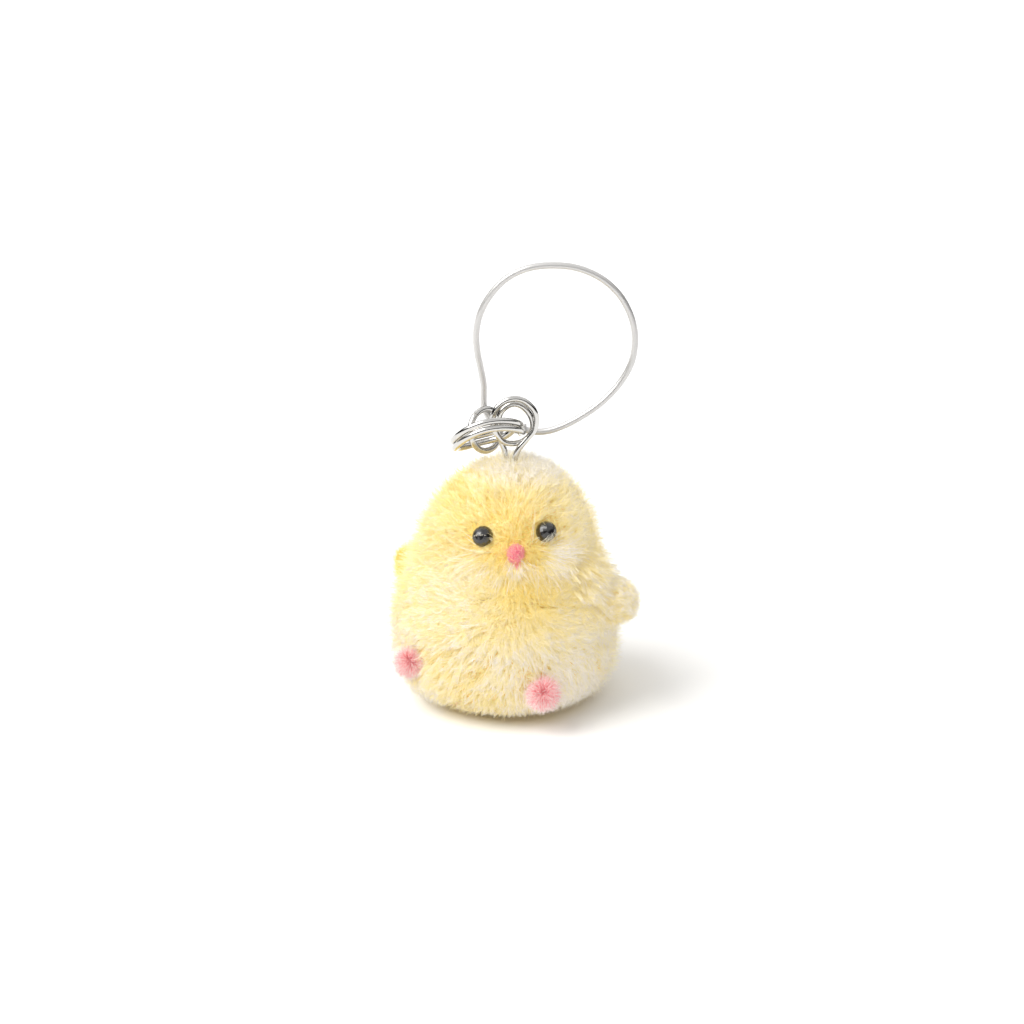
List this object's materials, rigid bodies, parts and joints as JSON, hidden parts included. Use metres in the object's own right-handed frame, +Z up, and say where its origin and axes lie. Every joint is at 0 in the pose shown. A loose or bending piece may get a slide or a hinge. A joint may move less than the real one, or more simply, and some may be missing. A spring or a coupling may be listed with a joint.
{
  "type": "plush keychain",
  "caption": "Round fluffy chick with stub arms, pompom feet and bead eyes, hung from a wire eye with a split ring, a jump ring and a stiff cord loop.",
  "frame": {"origin": "centre of the flat base, on the surface it stands on", "axes": "+Z up through the neck, -Y the front of the body"},
  "size_m": [0.0398, 0.0342, 0.0698],
  "materials": {
    "plush_yellow": "long fluffy pile",
    "plush_pink": "long fluffy pile",
    "backing_cloth": "short knitted cloth",
    "stuffing_white": "polyester fibre",
    "sewing_thread": "spun thread",
    "bead_black": "polished",
    "nose_flock": "short flock",
    "washer_white": "moulded",
    "ring_chrome": "bright nickel plating",
    "cord_silver": "silvery, slightly clear",
    "ferrule_steel": "plain crimped sleeve"
  },
  "bodies": {
    "body": {"body_front_panel": "plush_yellow", "body_back_panel": "plush_yellow", "body_base_panel": "backing_cloth", "body_stuffing": "stuffing_white", "neck_stitching": "sewing_thread", "left_foot_cover": "plush_pink", "left_foot_stuffing": "stuffing_white", "right_foot_cover": "plush_pink", "right_foot_stuffing": "stuffing_white"},
    "head": {"head_front_panel": "plush_yellow", "head_back_panel": "plush_yellow", "head_stuffing": "stuffing_white", "left_eye": "bead_black", "right_eye": "bead_black", "nose": "nose_flock", "left_eye_washer": "washer_white", "right_eye_washer": "washer_white", "nose_washer": "washer_white", "hanger_loop": "ring_chrome", "anchor_disc": "washer_white"},
    "left_arm": {"left_arm_cover": "plush_yellow", "left_arm_stuffing": "stuffing_white"},
    "right_arm": {"right_arm_cover": "plush_yellow", "right_arm_stuffing": "stuffing_white"},
    "large_ring": {"split_ring": "ring_chrome"},
    "small_ring": {"small_jump_ring": "ring_chrome"},
    "cord": {"cord_loop": "cord_silver", "cord_ferrule": "ferrule_steel"}
  },
  "joints": [
    {"name": "head_turn", "type": "hinge", "parent": "body", "child": "head", "pos_m": [0, 0, 0.0198], "axis": [0, 0, 1], "range_deg": [-15, 15], "stiffness_Nm_per_rad": 0.001},
    {"name": "left_arm_flex", "type": "hinge", "parent": "body", "child": "left_arm", "pos_m": [-0.01385, 0.00121, 0.0172], "axis": [0, 0, 1], "range_deg": [-14, 14], "stiffness_Nm_per_rad": 0.0002},
    {"name": "right_arm_flex", "type": "hinge", "parent": "body", "child": "right_arm", "pos_m": [0.0139, 0, 0.0172], "axis": [0, 0, 1], "range_deg": [-14, 14], "stiffness_Nm_per_rad": 0.0002},
    {"name": "large_ring_swing", "type": "hinge", "parent": "head", "child": "large_ring", "pos_m": [0.00199, 0.00094, 0.04434], "axis": [-0.4289, 0.9033, 0], "range_deg": [-5, 12]},
    {"name": "small_ring_swing", "type": "hinge", "parent": "large_ring", "child": "small_ring", "pos_m": [-0.00457, 0.0034, 0.04105], "axis": [0.8817, 0.4186, 0.2177], "range_deg": [-5, 5]},
    {"name": "cord_loop_swing", "type": "hinge", "parent": "small_ring", "child": "cord", "pos_m": [-0.00517, 0.00368, 0.04588], "axis": [0.448, 0.886, -0.12], "range_deg": [-5, 6]}
  ]
}
